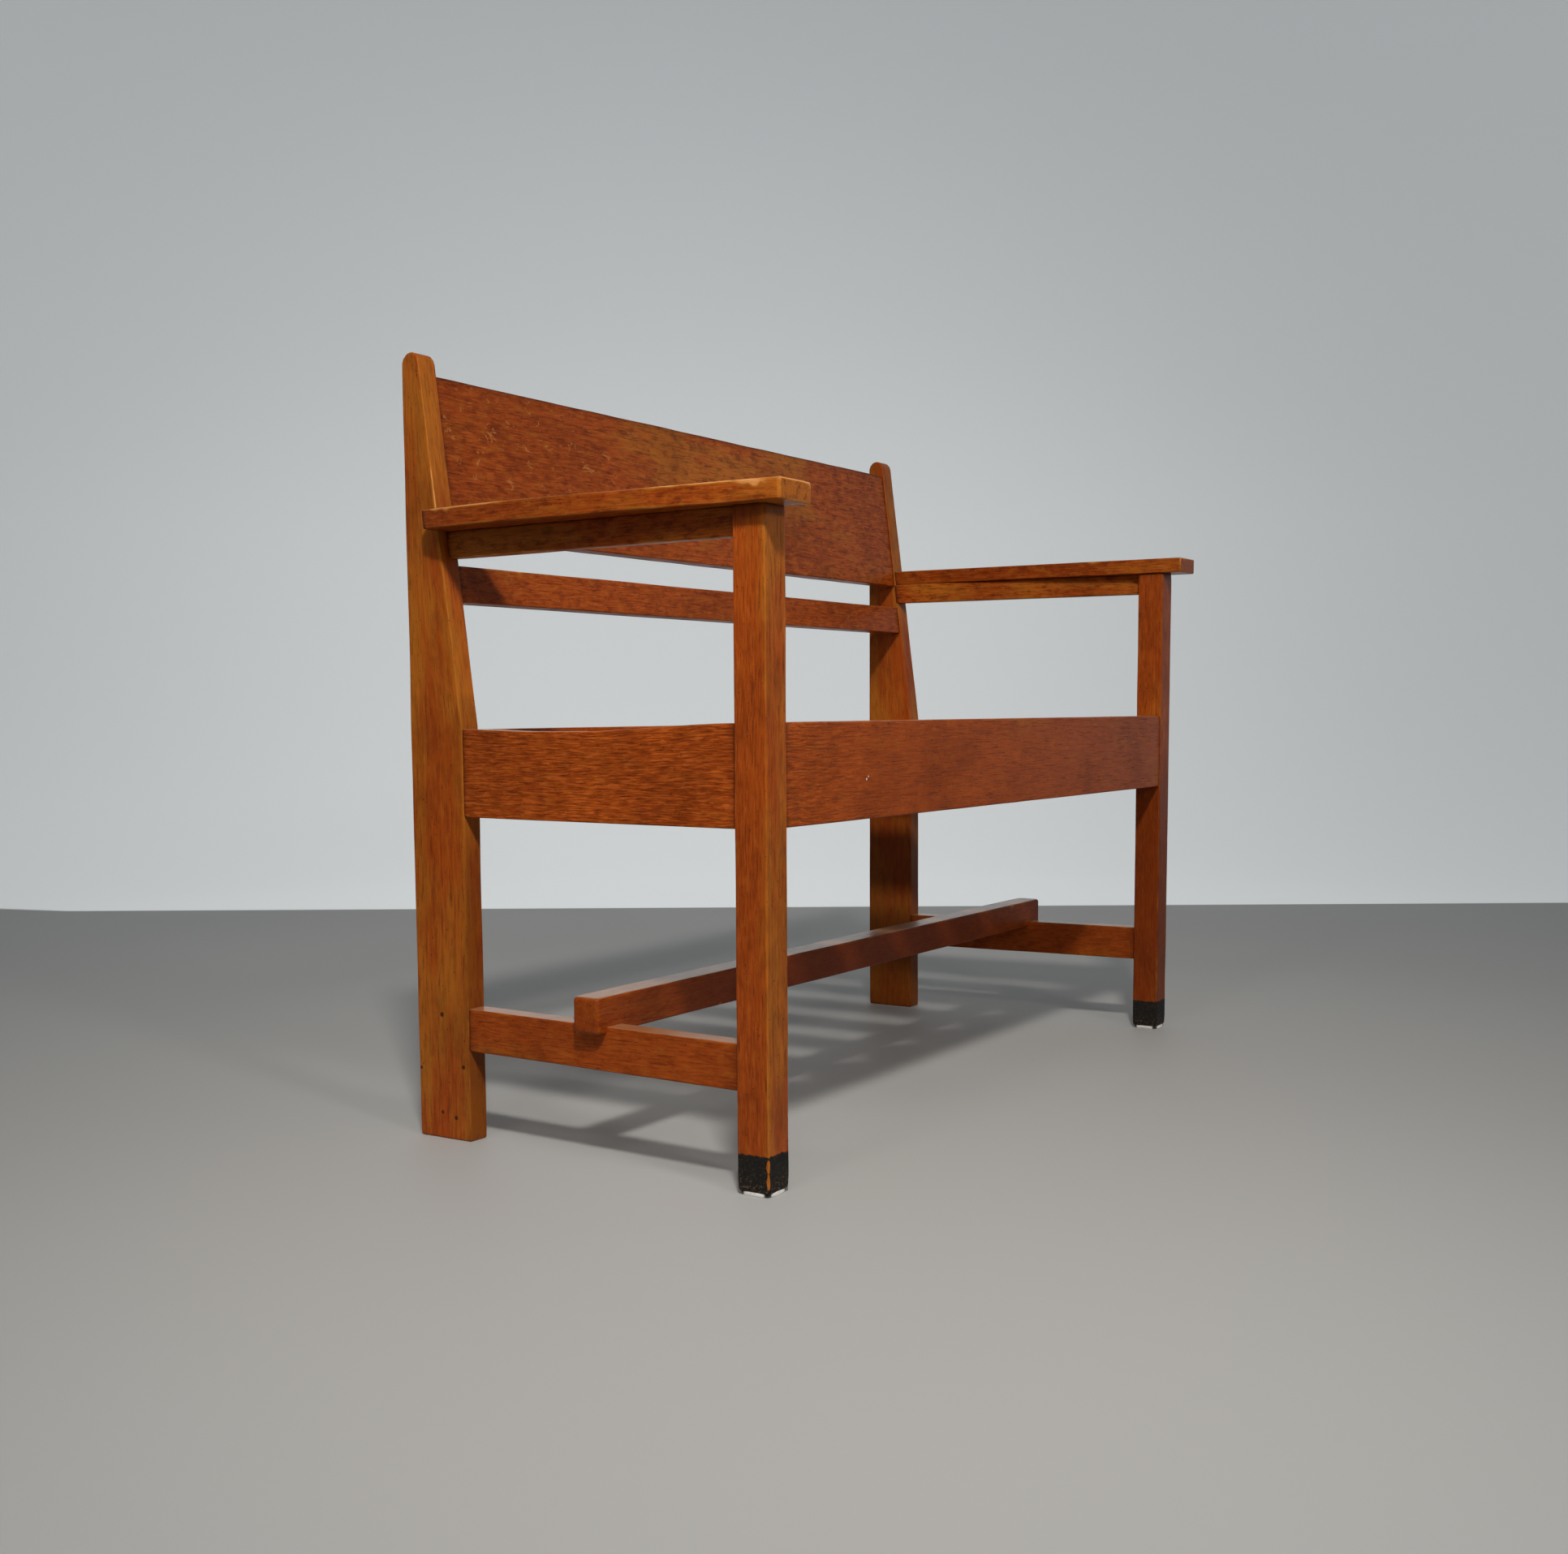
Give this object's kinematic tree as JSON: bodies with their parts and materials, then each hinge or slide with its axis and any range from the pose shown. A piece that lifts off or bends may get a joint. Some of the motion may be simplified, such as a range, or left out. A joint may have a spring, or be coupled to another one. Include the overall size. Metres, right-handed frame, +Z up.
{
  "type": "settle",
  "caption": "Stained oak settle with open arms, a raked back panel over a slat, deep seat rails, a slatted seat well and a low stretcher.",
  "frame": {"origin": "on the floor, under the middle of the settle's length and overall depth", "axes": "+X along the settle to its right-hand end seen from the front, +Y from front to back, +Z up"},
  "size_m": [1.102, 0.494, 0.837],
  "materials": {
    "oak": "warm stained oak, satin, worn at the edges",
    "deck_pine": "aged bare pine",
    "steel": "dulled",
    "pin_steel": "darkened",
    "felt": "off-white felt"
  },
  "bodies": {
    "root": {"arm_left": "oak", "arm_rail_left": "oak", "arm_rail_right": "oak", "arm_right": "oak", "back_panel": "oak", "back_slat": "oak", "cleat_screws": "steel", "foot_pads": "felt", "front_glue_block_left": "deck_pine", "front_glue_block_right": "deck_pine", "front_leg_left": "oak", "front_leg_right": "oak", "front_seat_rail": "oak", "long_stretcher": "oak", "rear_glue_block_left": "deck_pine", "rear_glue_block_right": "deck_pine", "rear_leg_left": "oak", "rear_leg_right": "oak", "rear_seat_rail": "oak", "seat_cleat_front": "deck_pine", "seat_cleat_rear": "deck_pine", "seat_slat_1": "deck_pine", "seat_slat_2": "deck_pine", "seat_slat_3": "deck_pine", "seat_slat_4": "deck_pine", "seat_slat_5": "deck_pine", "seat_slat_6": "deck_pine", "seat_slat_7": "deck_pine", "seat_slat_8": "deck_pine", "side_seat_rail_left": "oak", "side_seat_rail_right": "oak", "side_stretcher_left": "oak", "side_stretcher_right": "oak", "slat_screws": "steel", "stretcher_screws": "steel", "tenon_pins": "pin_steel"}
  },
  "joints": []
}
